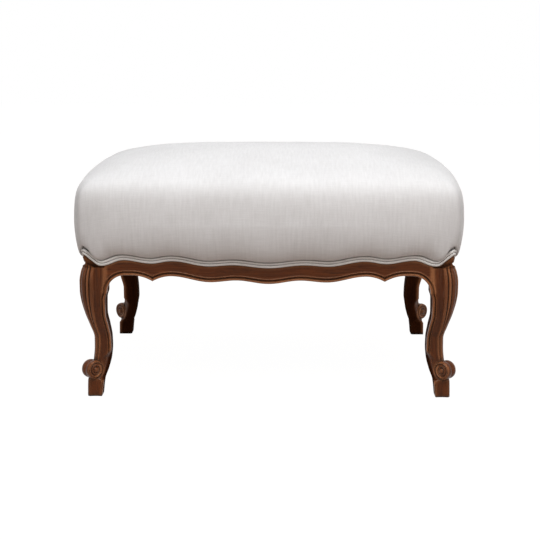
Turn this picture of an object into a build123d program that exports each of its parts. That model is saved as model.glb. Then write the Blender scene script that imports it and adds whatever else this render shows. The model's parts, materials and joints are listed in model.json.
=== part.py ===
from build123d import *
import math
import os

# An upholstered footstool in the Louis XV manner: a carved walnut frame of four cabriole legs and four
# scalloped rails, webbed and padded, with a tight domed cover finished by double piping.
# Millimetres, +Z up, -Y is the front, the origin is on the floor under the middle of the stool.

# Frame
frame_width = 563.0
frame_depth = 409.0
shoulder_height = 206.0
post_rise = 34.0
rail_thickness = 24.0
leg_square = 34.5
tack_rebate = 3.5
post_corner_radius = 6.0

# Seat line and apron, as rises above their middles
seat_line_drop = 2.0
show_band = 25.0
front_seat_wave = [(0.0, 0.0), (0.225, 4.5), (0.365, 2.5), (0.595, 10.5), (0.72, 6.7), (0.893, 12.0)]
side_seat_wave = [(0.0, 0.0), (0.33, 4.5), (0.55, 2.5), (0.85, 12.0)]
front_apron_wave = [(0.0, 0.0), (0.199, 5.3), (0.357, 2.5), (0.602, 11.7)]
front_apron_cusp = (0.716, 3.8)
front_apron_crest = 0.845
side_apron_wave = [(0.0, 0.0), (0.32, 6.0)]
side_apron_cusp = (0.54, 1.5)
side_apron_crest = 0.76
apron_crest_rise = 13.0
arch_radius = 28.0
corner_dip_inset = 28.0
corner_dip_rise = 3.0
corner_dip_radius = 14.0
corner_rise_angle = 40.0
lip_gap = 3.5

# Bead along the foot of the apron
bead_diameter = 5.0
bead_proud = 1.0
bead_overhang = 0.6

# Leg stations from the shoulder down: share of the shoulder height, then offsets from the show face of
# the outer corner, the inner corner and the panel, then corner radius, reed depth, leaf height and bead
leg_stations = [
    (1.000, 2.3, -34.9, 0.0, 17.0, 2.0, 1.0, 4.4),
    (0.947, 6.4, -34.9, 0.5, 19.5, 2.3, 1.0, 4.4),
    (0.874, 8.7, -34.9, 1.4, 21.0, 2.4, 1.0, 4.4),
    (0.806, 8.7, -34.7, 1.8, 21.0, 2.4, 1.0, 4.4),
    (0.748, 7.4, -31.8, 1.6, 19.5, 2.3, 0.9, 4.2),
    (0.636, 1.7, -31.4, -1.2, 14.5, 1.9, 0.6, 4.0),
    (0.534, -5.5, -34.6, -7.2, 10.0, 1.5, 0.1, 3.8),
    (0.437, -10.9, -37.2, -12.2, 8.8, 1.3, 0.05, 3.6),
    (0.369, -10.8, -37.5, -12.2, 8.6, 1.1, 0.05, 3.4),
    (0.282, -9.4, -36.0, -10.6, 7.5, 0.8, 0.05, 2.8),
    (0.185, -4.6, -30.0, -5.4, 5.5, 0.4, 0.05, 2.0),
    (0.117, -1.0, -24.8, -1.4, 4.0, 0.15, 0.05, 1.4),
    (0.000, 0.5, -20.8, 0.2, 3.4, 0.1, 0.05, 1.2),
]
edge_reed_angle = 24.0
leaf_reed_angle = 16.0
bead_drop_share = 0.55

# Scroll of the foot: a spool whose axis lies level, square to the leg's diagonal
scroll_inset = 7.6
scroll_height = 42.0
scroll_radius = 14.5
scroll_half_length = 9.0
scroll_ring = 3.5
scroll_groove = 1.0
button_radius = 4.6
button_proud = 0.8

# Joinery
dowel_diameter = 8.0
dowel_length = 34.0
dowel_end_room = 1.0
dowel_drops = [14.0, 42.0]
pin_clearance = 0.05
block_reach = 58.0
block_height = 28.0
block_below_top = 6.0
screw_diameter = 4.0
screw_length = 28.0
screw_grip = 14.0
screw_head_diameter = 8.0
screw_head_height = 3.0
screw_place = 30.0
screw_head_room = 0.5

# Seat platform
webbing_width = 50.0
webbing_thickness = 2.0
webbing_edge = 5.0
webbing_ramp = 10.0
long_webbing_count = 3
cross_webbing_count = 5
weave_clearance = 0.2
hessian_thickness = 1.0
hessian_edge = 4.0
tack_diameter = 1.8
tack_length = 11.0
tack_head_diameter = 6.0
tack_head_height = 1.0
tacks_per_strip_end = 3
tack_spacing = 16.0

# Upholstery
cover_thickness = 1.2
cover_clearance = 0.3
wadding_thickness = 12.0
seat_clearance = 0.3
cushion_rise = 131.0
bulge_rise = 32.0
# Bulge stations: share of the rise from the neck to the fullest level, outset, corner radius, bow
lower_stations = [
    (0.0, 0.0, 7.5, 0.0),
    (0.15, 0.9, 7.5, 1.5),
    (0.33, 2.8, 9.5, 5.0),
    (0.6, 11.5, 24.0, 7.0),
    (1.0, 19.0, 46.0, 7.5),
]
# Crown stations: share of the rise from the fullest level to the top, outset, corner radius, bow
upper_stations = [
    (0.273, 17.5, 49.0, 7.5),
    (0.535, 10.0, 54.0, 8.0),
    (0.697, -11.0, 57.0, 9.0),
    (0.8, -37.0, 59.0, 9.5),
    (0.872, -64.0, 60.0, 9.5),
    (0.928, -92.0, 57.0, 8.0),
    (0.969, -120.0, 49.0, 6.0),
    (1.0, -148.0, 42.0, 3.0),
]
piping_diameter = 3.6
piping_gap = 0.2
cover_tack_diameter = 1.6
cover_tack_length = 9.0
cover_tack_head_diameter = 4.0
cover_tack_head_height = 0.6
cover_tack_pitch = 62.0

# Dust cover under the frame
dust_rebate_depth = 10.0
dust_rebate_rise = 15.0
dust_thickness = 0.8
dust_edge = 1.0
dust_tack_pitch = 60.0
dust_tack_length = 9.0

# Places worked out from the sizes above
half_width = frame_width / 2
half_depth = frame_depth / 2
rail_top = shoulder_height + post_rise
seat_line = shoulder_height - seat_line_drop
apron_line = seat_line - show_band
arch_top = apron_line + apron_crest_rise
arch_foot = arch_top - arch_radius
joint_x = half_width - leg_square
joint_y = half_depth - leg_square
rebate_x = half_width - tack_rebate
rebate_y = half_depth - tack_rebate
inner_x = half_width - rail_thickness
inner_y = half_depth - rail_thickness
cover_neck = cover_clearance + cover_thickness
piping_radius = piping_diameter / 2
piping_stand_off = cover_neck + cover_tack_head_height + piping_gap + piping_radius
lower_cord_rise = piping_radius
upper_cord_rise = piping_radius + piping_diameter + piping_gap
dust_height = apron_line + dust_rebate_rise
webbing_top = rail_top + 2 * webbing_thickness + weave_clearance
hessian_bottom = webbing_top + weave_clearance
hessian_top = hessian_bottom + hessian_thickness
filling_bottom = hessian_top + seat_clearance
seat_top = rail_top + cushion_rise
bulge_height = rail_top + bulge_rise
far = 2 * (frame_width + frame_depth)
tack_head = (tack_head_diameter, tack_head_height)
cover_tack_head = (cover_tack_head_diameter, cover_tack_head_height)


def box(low, high):
    """A box between two opposite corners."""
    size = [top - bottom for bottom, top in zip(low, high)]
    return Solid.make_box(*size, Plane(origin=low))


def cylinder(radius, length, start, direction):
    """A cylinder that starts at a point and runs along a direction."""
    return Solid.make_cylinder(radius, length, Plane(origin=start, z_dir=direction))


def prism(points, bottom, top):
    """An upright prism over a closed plan outline."""
    outline = Wire.make_polygon([(x, y, bottom) for x, y in points])
    return Solid.extrude(Face(outline), Vector(0, 0, top - bottom))


def about_z(shape, angle):
    """A copy of a shape turned about the stool's upright axis."""
    return shape.rotate(Axis.Z, angle)


def largest(shape):
    """The main solid of a result."""
    return max(shape.solids(), key=lambda solid: solid.volume)


def join(body, *others):
    """Solids joined into one, one after another."""
    for other in others:
        body = largest(body.fuse(other))
    return body


def cut(body, *tools):
    """What is left of a solid when others are taken out of it."""
    return largest(body.cut(*tools))


def common(body, tool):
    """The part of a solid inside another."""
    return largest(body.intersect(tool))


class Arc:
    """A round stretch of a wave in the X-Z plane; side is 1 for a crest and -1 for a dip."""

    def __init__(self, middle, radius, start, end, side):
        self.middle = middle
        self.radius = radius
        self.start = start
        self.end = end
        self.side = side

    def point(self, angle, lift):
        reach = self.radius + self.side * lift
        turn = math.radians(angle)
        return (self.middle[0] + reach * math.cos(turn), self.middle[1] + reach * math.sin(turn))

    def ends(self, lift):
        return self.point(self.start, lift), self.point(self.end, lift)

    def edge(self, lift, depth, flip):
        half_way = self.point((self.start + self.end) / 2, lift)
        first, last = self.ends(lift)
        spots = [(flip * x, depth, z) for x, z in (first, half_way, last)]
        return Edge.make_three_point_arc(*spots)

    def height(self, x):
        rise = math.sqrt(max(self.radius ** 2 - (x - self.middle[0]) ** 2, 0.0))
        return self.middle[1] + self.side * rise


class Run:
    """A straight stretch of a wave in the X-Z plane."""

    def __init__(self, first, last):
        self.first = first
        self.last = last
        length = math.dist(first, last)
        self.normal = ((first[1] - last[1]) / length, (last[0] - first[0]) / length)

    def ends(self, lift):
        shift = [lift * part for part in self.normal]
        first = (self.first[0] + shift[0], self.first[1] + shift[1])
        last = (self.last[0] + shift[0], self.last[1] + shift[1])
        return first, last

    def edge(self, lift, depth, flip):
        first, last = self.ends(lift)
        return Edge.make_line((flip * first[0], depth, first[1]), (flip * last[0], depth, last[1]))

    def height(self, x):
        share = (x - self.first[0]) / (self.last[0] - self.first[0])
        return self.first[1] + share * (self.last[1] - self.first[1])


def swing(first, last):
    """Two equal arcs between a dip and a crest, level at both ends."""
    run = last[0] - first[0]
    rise = last[1] - first[1]
    radius = (run ** 2 + rise ** 2) / (4 * abs(rise))
    turn = 2 * math.degrees(math.atan2(abs(rise), run))
    if rise > 0:
        dip = Arc((first[0], first[1] + radius), radius, -90, -90 + turn, -1)
        crest = Arc((last[0], last[1] - radius), radius, 90 + turn, 90, 1)
        return [dip, crest]
    crest = Arc((first[0], first[1] - radius), radius, 90, 90 - turn, 1)
    dip = Arc((last[0], last[1] + radius), radius, -90 - turn, -90, -1)
    return [crest, dip]


def crest_and_cusp(crest, cusp):
    """One arc that is level at its crest and ends in a cusp, on either side of the crest."""
    run = cusp[0] - crest[0]
    drop = crest[1] - cusp[1]
    radius = (run ** 2 + drop ** 2) / (2 * drop)
    turn = math.degrees(math.asin(run / radius))
    middle = (crest[0], crest[1] - radius)
    if run > 0:
        return Arc(middle, radius, 90, 90 - turn, 1)
    return Arc(middle, radius, 90 - turn, 90, 1)


def seat_wave(half_length, face, stations, corner):
    """The seat line from the middle of a side to its corner, as arcs and one last straight rise."""
    spots = [(share * half_length, seat_line + rise) for share, rise in stations]
    dip = (face - corner_dip_inset, seat_line + corner_dip_rise)
    spots.append(dip)
    stretches = []
    for first, last in zip(spots, spots[1:]):
        stretches += swing(first, last)
    middle = (dip[0], dip[1] + corner_dip_radius)
    turn_up = Arc(middle, corner_dip_radius, -90, -90 + corner_rise_angle, -1)
    start = turn_up.ends(0)[1]
    end = (corner, start[1] + (corner - start[0]) * math.tan(math.radians(corner_rise_angle)))
    return stretches + [turn_up, Run(start, end)]


def apron_wave(half_length, stations, cusp_station, crest_share):
    """The lower edge of a rail, from its middle to the cusp and from the cusp to the leg."""
    spots = [(share * half_length, apron_line + rise) for share, rise in stations]
    stretches = []
    for first, last in zip(spots, spots[1:]):
        stretches += swing(first, last)
    cusp = (cusp_station[0] * half_length, apron_line + cusp_station[1])
    crest = (crest_share * half_length, arch_top)
    arch_start = (half_length - arch_radius, arch_top)
    stretches.append(crest_and_cusp(spots[-1], cusp))
    outer = [
        crest_and_cusp(crest, cusp),
        Run(crest, arch_start),
        Arc((arch_start[0], arch_foot), arch_radius, 90, 0, 1),
    ]
    return stretches, outer


def wave_edges(stretches, lift, depth):
    """Edges of a whole wave, left end to right end, lifted square to itself, in one upright plane."""
    left = [stretch.edge(lift, depth, -1) for stretch in reversed(stretches)]
    right = [stretch.edge(lift, depth, 1) for stretch in stretches]
    return left + right


def wave_height(stretches, x):
    """Height of a wave at a distance from its middle."""
    for stretch in stretches:
        if x <= stretch.ends(0)[1][0]:
            return stretch.height(x)
    return stretches[-1].height(x)


def band(stretches, lift, depth, thickness, top):
    """A slab in the X-Z plane between a lifted wave and a level, with its near face at depth."""
    edges = wave_edges(stretches, lift, depth)
    reach, foot = stretches[-1].ends(lift)[1]
    corners = [(reach, depth, foot), (reach, depth, top), (-reach, depth, top), (-reach, depth, foot)]
    edges += [Edge.make_line(first, last) for first, last in zip(corners, corners[1:])]
    return Solid.extrude(Face(Wire(edges)), Vector(0, thickness, 0))


def tube(edges, radius):
    """A round cord swept along joined edges."""
    path = Wire(edges)
    section = Wire.make_circle(radius, Plane(origin=path @ 0, z_dir=path % 0))
    return Solid.sweep(Face(section), path)


# The four sides, front first and then anticlockwise, each as a front view: turn, wave lengths and faces
class Side:
    def __init__(self, name, turn, across, seat_stations, apron_stations, cusp, crest):
        self.name = name
        self.turn = turn
        self.face = half_width if across else half_depth
        self.span = half_depth if across else half_width
        self.joint = self.span - leg_square
        self.inner = self.face - rail_thickness
        self.rebate = self.face - tack_rebate
        self.piping = self.rebate + piping_stand_off
        self.corner = self.span - tack_rebate + piping_stand_off
        self.seat = seat_wave(self.joint, self.span, seat_stations, self.corner)
        self.scallops, self.arch = apron_wave(self.joint, apron_stations, cusp, crest)


front_shape = (front_seat_wave, front_apron_wave, front_apron_cusp, front_apron_crest)
side_shape = (side_seat_wave, side_apron_wave, side_apron_cusp, side_apron_crest)
sides = [
    Side("front", 0, False, *front_shape),
    Side("right", 90, True, *side_shape),
    Side("back", 180, False, *front_shape),
    Side("left", 270, True, *side_shape),
]


def sector(side, bottom, top):
    """The wedge of space that belongs to one side, mitred to its neighbours at the piping's corners."""
    room = frame_depth
    outer = side.corner + room
    if side.corner > side.piping:
        ridge = side.corner - side.piping
        points = [(-outer, -side.piping - room), (outer, -side.piping - room), (ridge, 0), (-ridge, 0)]
    else:
        points = [(-outer, -side.piping - room), (outer, -side.piping - room), (0, side.corner - side.piping)]
    return prism(points, bottom, top)


def make_cord(rise):
    """One piping cord round the stool: four swept lengths mitred at the corners."""
    lengths = []
    for side in sides:
        last = side.seat[-1]
        overrun = piping_diameter * 2
        slope = (last.last[1] - last.first[1]) / (last.last[0] - last.first[0])
        longer = Run(last.first, (last.last[0] + overrun, last.last[1] + overrun * slope))
        cord = tube(wave_edges(side.seat[:-1] + [longer], rise, -side.piping), piping_radius)
        lengths.append(about_z(common(cord, sector(side, 0, seat_top)), side.turn))
    return join(*lengths)


def make_rail(side):
    """A scalloped rail in its front view, with its rebates and bead."""
    rail = band(side.scallops + side.arch, 0, -side.face, rail_thickness, rail_top)
    bead_rise = bead_diameter / 2 - bead_overhang
    bead_depth = -side.face - bead_proud + bead_diameter / 2
    beads = [tube(wave_edges(side.scallops, bead_rise, bead_depth), bead_diameter / 2)]
    for flip in (-1, 1):
        arch_edges = [stretch.edge(bead_rise, bead_depth, flip) for stretch in side.arch]
        beads.append(tube(arch_edges, bead_diameter / 2))
    rail = join(rail, *beads)
    rebate = band(side.seat, -lip_gap, -side.face - tack_rebate, 2 * tack_rebate, rail_top + post_rise)
    ledge_low = (-side.span, -side.inner - dust_rebate_depth, 0)
    ledge = box(ledge_low, (side.span, -side.inner + rail_thickness, dust_height))
    trim = box((-side.joint, -side.face - arch_radius, 0), (side.joint, 0, rail_top))
    return common(cut(rail, rebate, ledge), trim)


def rim_point(middle, radius, angle):
    """A point on the reeded corner of a leg, measured from the side face round to the front face."""
    turn = math.radians(angle)
    return (middle + radius * math.sin(turn), middle + radius * math.cos(turn))


def leg_section(station):
    """One level outline of a leg, in offsets from the show faces, for the +X +Y corner."""
    share, outer, inner, panel, corner_radius, depth, leaf, bead = station
    level = share * shoulder_height
    middle = outer - corner_radius
    low_radius = corner_radius - depth
    crown_angle = 90 - edge_reed_angle - 2 * leaf_reed_angle
    widths = [edge_reed_angle, leaf_reed_angle, crown_angle, leaf_reed_angle, edge_reed_angle]
    tops = [corner_radius, low_radius + depth * leaf, corner_radius, low_radius + depth * leaf, corner_radius]

    def place(spot):
        return (half_width + spot[0], half_depth + spot[1], level)

    def swap(spot):
        return (spot[1], spot[0])

    bead_foot = (inner, panel - bead * bead_drop_share)
    bead_top = (inner + bead * (1 - bead_drop_share) / 2, panel)
    bead_end = (inner + bead, panel - bead * (1 - bead_drop_share) / 2)
    angle = -edge_reed_angle / 2
    first = rim_point(middle, low_radius, angle)
    edges = [
        Edge.make_line(place((inner, inner)), place(bead_foot)),
        Edge.make_three_point_arc(place(bead_foot), place(bead_top), place(bead_end)),
        Edge.make_line(place(bead_end), place(first)),
    ]
    for width, top in zip(widths, tops):
        crest = rim_point(middle, top, angle + width / 2)
        last = rim_point(middle, low_radius, angle + width)
        edges.append(Edge.make_three_point_arc(place(first), place(crest), place(last)))
        first = last
        angle += width
    edges += [
        Edge.make_line(place(first), place(swap(bead_end))),
        Edge.make_three_point_arc(place(swap(bead_end)), place(swap(bead_top)), place(swap(bead_foot))),
        Edge.make_line(place(swap(bead_foot)), place((inner, inner))),
    ]
    return Wire(edges)


def make_scroll():
    """The spool of a foot scroll, with a ring, a groove and a button on each end."""
    ring_inner = scroll_radius - scroll_ring
    groove_floor = scroll_half_length - scroll_groove
    profile = [
        (0, 0),
        (scroll_radius, 0),
        (scroll_radius, scroll_half_length - scroll_groove),
        (scroll_radius - scroll_groove, scroll_half_length),
        (ring_inner, scroll_half_length),
        (ring_inner - scroll_groove, groove_floor),
        (button_radius + scroll_groove, groove_floor),
        (button_radius, scroll_half_length),
        (button_radius / 2, scroll_half_length + button_proud),
        (0, scroll_half_length + button_proud),
    ]
    outline = Wire.make_polygon([(radius, 0, along) for radius, along in profile])
    half = Solid.revolve(Face(outline), 360, Axis.Z)
    spool = join(half, half.mirror(Plane.XY))
    place = (half_width - scroll_inset, half_depth - scroll_inset, scroll_height)
    return Plane(origin=place, z_dir=(1, -1, 0)) * spool


def make_leg():
    """The leg of the +X +Y corner: cabriole, post, scroll and the flat seats of the two rails."""
    cabriole = Solid.make_loft([leg_section(station) for station in reversed(leg_stations)])
    post = box((joint_x, joint_y, arch_foot), (rebate_x, rebate_y, rail_top))
    corner_edge = post.edges().filter_by(Axis.Z).sort_by(Axis.X)[-2:].sort_by(Axis.Y)[-1]
    post = post.fillet(post_corner_radius, [corner_edge])
    leg = join(cabriole, post, make_scroll())
    clear_top = rail_top + post_rise
    leg = cut(leg, box((0, 0, arch_foot), (joint_x, half_depth + leg_square, clear_top)))
    return cut(leg, box((0, 0, arch_foot), (half_width + leg_square, joint_y, clear_top)))


def four_corners(shape):
    """Mirror copies of a +X +Y shape, by corner name."""
    back_left = shape.mirror(Plane.YZ)
    return {
        "front_left": back_left.mirror(Plane.XZ),
        "front_right": shape.mirror(Plane.XZ),
        "back_left": back_left,
        "back_right": shape,
    }


def dowel_places():
    """The start point and direction of every dowel: two in each end of each rail."""
    places = []
    for side in sides:
        depth = -side.face + rail_thickness / 2
        for end in (-1, 1):
            for drop in dowel_drops:
                start = Vector(end * (side.joint - dowel_length / 2), depth, rail_top - drop)
                way = Vector(end, 0, 0)
                places.append((start.rotate(Axis.Z, side.turn), way.rotate(Axis.Z, side.turn)))
    return places


def make_block():
    """The corner block of the +X +Y corner, notched round the post, with its screw holes."""
    bottom = rail_top - block_below_top - block_height
    points = [
        (joint_x - block_reach, inner_y),
        (joint_x, inner_y),
        (joint_x, joint_y),
        (inner_x, joint_y),
        (inner_x, joint_y - block_reach),
    ]
    return prism(points, bottom, bottom + block_height)


def screw_places():
    """The seat point of the screw heads in the +X +Y block and the way each screw points."""
    level = rail_top - block_below_top - block_height / 2
    return [
        (Vector(joint_x - screw_place, inner_y - screw_grip, level), Vector(0, 1, 0)),
        (Vector(inner_x - screw_grip, joint_y - screw_place, level), Vector(1, 0, 0)),
    ]


def make_screw(seat, direction):
    """A pan head screw."""
    head_start = seat - direction * screw_head_height
    head = cylinder(screw_head_diameter / 2, screw_head_height, head_start, direction)
    return join(head, cylinder(screw_diameter / 2, screw_length, seat, direction))


def make_screw_hole(seat, direction):
    """The room that a screw and its driver take out of the wood."""
    shank = cylinder(screw_diameter / 2 + pin_clearance, screw_length + screw_head_room, seat, direction)
    head = cylinder(screw_head_diameter / 2 + screw_head_room, block_reach, seat, -direction)
    return join(shank, head)


def strip_offsets(count, opening):
    """Evenly spaced middles of webbing strips across an opening."""
    pitch = 2 * opening / count
    return [(place - (count - 1) / 2) * pitch for place in range(count)]


def make_strip(reach, middle, crossings):
    """A webbing strip along X that rises over some of the strips that cross it."""
    high = webbing_thickness + weave_clearance
    line = [(-reach, 0)]
    for crossing in sorted(crossings):
        near = webbing_width / 2 + weave_clearance
        ramp = near + webbing_ramp
        line += [(crossing - ramp, 0), (crossing - near, high), (crossing + near, high), (crossing + ramp, 0)]
    line.append((reach, 0))
    outline = line + [(x, z + webbing_thickness) for x, z in reversed(line)]
    near_edge = middle - webbing_width / 2
    face = Face(Wire.make_polygon([(x, near_edge, rail_top + z) for x, z in outline]))
    return Solid.extrude(face, Vector(0, webbing_width, 0))


def make_tack(point, direction, diameter, length, head):
    """A tack: its head rests at the point and its shank runs along the direction."""
    head_diameter, head_height = head
    head = cylinder(head_diameter / 2, head_height, point - direction * head_height, direction)
    return join(head, cylinder(diameter / 2, length, point, direction))


def tack_hole(point, direction, diameter, length):
    """The hole that a tack's shank makes, from just under its head."""
    room = diameter / 2
    return cylinder(diameter / 2 + pin_clearance, length + 2 * room, point - direction * room, direction)


def drill(shape, holes):
    """A piece with every hole that reaches it."""
    room = shape.bounding_box()
    return cut(shape, *[hole for hole in holes if room.overlaps(hole.bounding_box())])


def rounded_outline(level, half_x, half_y, radius, bow):
    """A level rounded rectangle whose sides bow outwards."""
    swing_in = radius * (1 - math.sqrt(0.5))
    edges = []
    corners = []
    for sign_x, sign_y in ((1, -1), (1, 1), (-1, 1), (-1, -1)):
        along_x = (sign_x * (half_x - radius), sign_y * half_y)
        along_y = (sign_x * half_x, sign_y * (half_y - radius))
        diagonal = (sign_x * (half_x - swing_in), sign_y * (half_y - swing_in))
        first, last = (along_x, along_y) if sign_x * sign_y < 0 else (along_y, along_x)
        corners.append((first, diagonal, last))
    outward = [(1, 0), (0, 1), (-1, 0), (0, -1)]
    reaches = [half_x, half_y, half_x, half_y]
    for place, (first, diagonal, last) in enumerate(corners):
        following = corners[(place + 1) % 4][0]
        way = outward[place]
        reach = reaches[place] + bow
        edges.append(Edge.make_three_point_arc((*first, level), (*diagonal, level), (*last, level)))
        if bow > 0:
            middle = (way[0] * reach, way[1] * reach, level)
            edges.append(Edge.make_three_point_arc((*last, level), middle, (*following, level)))
        else:
            edges.append(Edge.make_line((*last, level), (*following, level)))
    return Wire(edges)


def cushion_stations(inset):
    """Levels and sizes of the cushion, drawn in square to its profile by an inset."""
    neck_height = bulge_height - bulge_rise - post_rise / 2
    spots = []
    for share, outset, radius, bow in lower_stations:
        spots.append((outset, neck_height + share * (bulge_height - neck_height), radius, bow))
    for share, outset, radius, bow in upper_stations:
        spots.append((outset, bulge_height + share * (seat_top - bulge_height), radius, bow))
    stations = []
    for place, (outset, level, radius, bow) in enumerate(spots):
        before = spots[max(place - 1, 0)]
        after = spots[min(place + 1, len(spots) - 1)]
        run = (after[0] - before[0], after[1] - before[1])
        length = math.hypot(*run)
        if place == 0:
            normal = (1.0, 0.0)
        elif place == len(spots) - 1:
            normal = (0.0, 1.0)
        else:
            normal = (run[1] / length, -run[0] / length)
        stations.append((outset - inset * normal[0], level - inset * normal[1], radius, bow))
    return stations


def make_cushion(inset, bottom):
    """The closed form of the seat drawn in by an inset: an upright neck and a bulging crown."""
    outlines = []
    for outset, level, radius, bow in cushion_stations(inset):
        half_x = rebate_x + cover_neck + outset
        half_y = rebate_y + cover_neck + outset
        outlines.append(rounded_outline(level, half_x, half_y, max(radius - inset, post_corner_radius / 2), bow))
    crown = Solid.make_loft(outlines)
    neck_top = outlines[0].center().Z
    neck = Solid.extrude(Face(outlines[0]), Vector(0, 0, bottom - neck_top))
    return join(crown, neck)


def make_cover():
    """The seat cover: a thin skin whose lower edge follows the seat line under the piping."""
    cover = cut(make_cushion(0, apron_line), make_cushion(cover_thickness, apron_line - cover_thickness))
    for side in sides:
        reach = side.corner + frame_depth
        slope = side.seat[-1]
        rise = (slope.last[1] - slope.first[1]) / (slope.last[0] - slope.first[0])
        longer = Run(slope.first, (reach, slope.first[1] + (reach - slope.first[0]) * rise))
        below = band(side.seat[:-1] + [longer], piping_gap, -side.piping - frame_depth, far, 0)
        below = common(below, sector(side, 0, seat_top))
        cover = cut(cover, about_z(below, side.turn))
    return cover


def cover_tack_places():
    """Seat points of the tacks under the piping, evenly spaced along each side."""
    places = []
    for side in sides:
        reach = side.span - leg_square / 2
        count = int(2 * reach / cover_tack_pitch)
        for place in range(count):
            along = ((place + 0.5) / count * 2 - 1) * reach
            level = wave_height(side.seat, abs(along)) + piping_diameter
            seat = Vector(along, -side.rebate - cover_neck, level)
            places.append((seat.rotate(Axis.Z, side.turn), Vector(0, 1, 0).rotate(Axis.Z, side.turn)))
    return places


def dust_tack_seats():
    """Seat points of the tacks that hold the dust cover up in its ledge."""
    places = []
    for side in sides:
        depth = -side.inner - dust_rebate_depth / 2
        count = int(2 * side.joint / dust_tack_pitch)
        for place in range(count):
            along = ((place + 0.5) / count * 2 - 1) * side.joint
            seat = Vector(along, depth, dust_height - dust_thickness)
            places.append(seat.rotate(Axis.Z, side.turn))
    return places


def make_dust_cover():
    """The dust cover, cut out at its corners round the legs."""
    reach_x = inner_x + dust_rebate_depth - dust_edge
    reach_y = inner_y + dust_rebate_depth - dust_edge
    bottom = dust_height - dust_thickness
    sheet = box((-reach_x, -reach_y, bottom), (reach_x, reach_y, dust_height))
    notch = box((joint_x - dust_edge, joint_y - dust_edge, 0), (half_width, half_depth, rail_top))
    for corner in four_corners(notch).values():
        sheet = cut(sheet, corner)
    return sheet


# Fastenings of the frame
dowels = []
dowel_holes = []
for start, direction in dowel_places():
    dowels.append(cylinder(dowel_diameter / 2, dowel_length, start, direction))
    hole_start = start - direction * dowel_end_room
    hole_length = dowel_length + 2 * dowel_end_room
    dowel_holes.append(cylinder(dowel_diameter / 2 + pin_clearance, hole_length, hole_start, direction))

screws = []
screw_holes = []
for seat, direction in screw_places():
    screws += four_corners(make_screw(seat, direction)).values()
    screw_holes += four_corners(make_screw_hole(seat, direction)).values()

# Webbing, woven over and under, with its tacks
long_offsets = strip_offsets(long_webbing_count, inner_y)
cross_offsets = strip_offsets(cross_webbing_count, inner_x)
long_reach = rebate_x - webbing_edge
cross_reach = rebate_y - webbing_edge
strips = {}
tack_rows = []
for row, middle in enumerate(long_offsets):
    over = [spot for column, spot in enumerate(cross_offsets) if (row + column) % 2 == 0]
    strips["long_webbing_" + str(row + 1)] = make_strip(long_reach, middle, over)
    for end in (-1, 1):
        tack_rows.append((Vector(end * (long_reach + inner_x) / 2, middle), Vector(0, 1)))
for column, middle in enumerate(cross_offsets):
    over = [spot for row, spot in enumerate(long_offsets) if (row + column) % 2 == 1]
    strips["cross_webbing_" + str(column + 1)] = about_z(make_strip(cross_reach, -middle, over), 90)
    for end in (-1, 1):
        tack_rows.append((Vector(middle, end * (cross_reach + inner_y) / 2), Vector(1, 0)))

webbing_tacks = []
webbing_holes = []
down = Vector(0, 0, -1)
for row_middle, step in tack_rows:
    for place in range(tacks_per_strip_end):
        shift = (place - (tacks_per_strip_end - 1) / 2) * tack_spacing
        seat = row_middle + step * shift + Vector(0, 0, rail_top + webbing_thickness)
        webbing_tacks.append(make_tack(seat, down, tack_diameter, tack_length, tack_head))
        webbing_holes.append(tack_hole(seat, down, tack_diameter, tack_length))

# Hessian and filling
hessian_x = long_reach - hessian_edge
hessian_y = cross_reach - hessian_edge
hessian = box((-hessian_x, -hessian_y, hessian_bottom), (hessian_x, hessian_y, hessian_top))
below_filling = box((-far, -far, -far), (far, far, filling_bottom))
wadding_inset = cover_thickness + seat_clearance
foam_inset = wadding_inset + wadding_thickness
foam_core = cut(make_cushion(foam_inset + seat_clearance, apron_line), below_filling)
wadding = cut(make_cushion(wadding_inset, apron_line), below_filling, make_cushion(foam_inset, apron_line))

# Cover tacks, under the piping
cover_tacks = []
cover_holes = []
for seat, direction in cover_tack_places():
    cover_tacks.append(make_tack(seat, direction, cover_tack_diameter, cover_tack_length, cover_tack_head))
    cover_holes.append(tack_hole(seat, direction, cover_tack_diameter, cover_tack_length))

# Dust cover tacks
dust_tacks = []
dust_holes = []
up = Vector(0, 0, 1)
for seat in dust_tack_seats():
    dust_tacks.append(make_tack(seat, up, tack_diameter, dust_tack_length, tack_head))
    dust_holes.append(tack_hole(seat, up, tack_diameter, dust_tack_length))

# Drilled pieces: opposite rails, legs and blocks are alike, so one of each is drilled and copied
holes = dowel_holes + screw_holes + webbing_holes + cover_holes + dust_holes
nodes = {name: drill(strip, holes) for name, strip in strips.items()}
nodes["seat_cover"] = drill(make_cover(), holes)
nodes["dust_cover"] = drill(make_dust_cover(), holes)
for name, leg in four_corners(drill(make_leg(), holes)).items():
    nodes["leg_" + name] = leg
for name, block in four_corners(drill(make_block(), holes)).items():
    nodes[name + "_corner_block"] = block
for side, opposite in zip(sides[:2], sides[2:]):
    rail = drill(about_z(make_rail(side), side.turn), holes)
    nodes[side.name + "_rail"] = rail
    nodes[opposite.name + "_rail"] = about_z(rail, opposite.turn - side.turn)

# Pieces that are whole, and groups of like fastenings
nodes["rail_dowels"] = Compound(children=dowels)
nodes["corner_block_screws"] = Compound(children=screws)
nodes["webbing_tacks"] = Compound(children=webbing_tacks)
nodes["hessian"] = hessian
nodes["foam_core"] = foam_core
nodes["wadding"] = wadding
nodes["cover_tacks"] = Compound(children=cover_tacks)
nodes["piping_lower_cord"] = make_cord(lower_cord_rise)
nodes["piping_upper_cord"] = make_cord(upper_cord_rise)
nodes["dust_cover_tacks"] = Compound(children=dust_tacks)

# One file for each named piece
os.makedirs("parts", exist_ok=True)
for name, shape in nodes.items():
    export_step(shape, os.path.join("parts", name + ".step"))
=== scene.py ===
import bpy
import bmesh
import json
import math
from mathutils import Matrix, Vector, noise


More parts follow.
